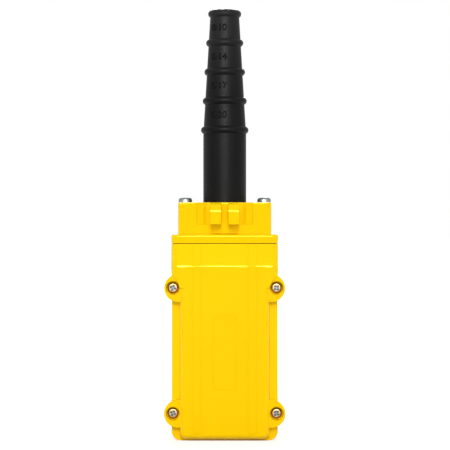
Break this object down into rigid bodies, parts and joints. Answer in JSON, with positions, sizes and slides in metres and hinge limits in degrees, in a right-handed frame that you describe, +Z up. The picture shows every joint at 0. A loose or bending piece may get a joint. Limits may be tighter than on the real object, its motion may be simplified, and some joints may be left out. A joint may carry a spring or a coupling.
{
  "type": "pendant control station",
  "caption": "Hand-held hoist pendant: upright two-button case with a screwed back cover, a top cap with suspension ears, and a stepped rubber cord boot.",
  "frame": {"origin": "on the axis of the cord boot, at the flat base of the case", "axes": "+Z up towards the cable entry, +Y out of the face with the buttons, -Y out of the screwed back cover, +X along the eye through the suspension ears"},
  "size_m": [0.0836, 0.0722, 0.2992],
  "materials": {
    "yellow_plastic": "glossy moulded",
    "black_rubber": "satin moulded",
    "seal_rubber": "matt",
    "zinc_steel": "zinc plated",
    "brass": "turned",
    "button_plastic": "moulded",
    "switch_plastic": "moulded phenolic",
    "guide_plastic": "moulded",
    "spring_steel": "drawn wire",
    "contact_brass": "stamped, silver tips"
  },
  "bodies": {
    "housing": {"front_case": "yellow_plastic", "back_cover": "yellow_plastic", "top_cap": "yellow_plastic", "cord_boot": "black_rubber", "cover_seal": "seal_rubber", "cap_seal": "seal_rubber", "cover_screws": "zinc_steel", "cover_screw_inserts": "brass", "cap_screws": "zinc_steel", "cap_washers": "zinc_steel", "cap_screw_inserts": "brass", "cable_clamp_strap": "zinc_steel", "cable_clamp_screws": "zinc_steel", "switch_mounting_screws": "zinc_steel", "lower_button_boot": "black_rubber", "lower_retaining_ring": "switch_plastic", "lower_return_spring": "spring_steel", "lower_switch_base": "switch_plastic", "lower_guide_plate": "guide_plastic", "lower_fixed_contacts": "contact_brass", "lower_wire_clamps": "zinc_steel", "lower_terminal_screws": "zinc_steel", "upper_button_boot": "black_rubber", "upper_retaining_ring": "switch_plastic", "upper_return_spring": "spring_steel", "upper_switch_base": "switch_plastic", "upper_guide_plate": "guide_plastic", "upper_fixed_contacts": "contact_brass", "upper_wire_clamps": "zinc_steel", "upper_terminal_screws": "zinc_steel"},
    "lower_button": {"lower_button": "button_plastic", "lower_contact_carrier": "guide_plastic", "lower_contact_bridge": "contact_brass", "lower_contact_spring": "spring_steel"},
    "upper_button": {"upper_button": "button_plastic", "upper_contact_carrier": "guide_plastic", "upper_contact_bridge": "contact_brass", "upper_contact_spring": "spring_steel"}
  },
  "joints": [
    {"name": "lower_button_press", "type": "slide", "parent": "housing", "child": "lower_button", "axis": [0, -1, 0], "range_m": [0, 0.005], "stiffness_N_per_m": 1000, "deforming": ["lower_button_boot", "lower_return_spring"]},
    {"name": "upper_button_press", "type": "slide", "parent": "housing", "child": "upper_button", "axis": [0, -1, 0], "range_m": [0, 0.005], "stiffness_N_per_m": 1000, "deforming": ["upper_button_boot", "upper_return_spring"]}
  ]
}
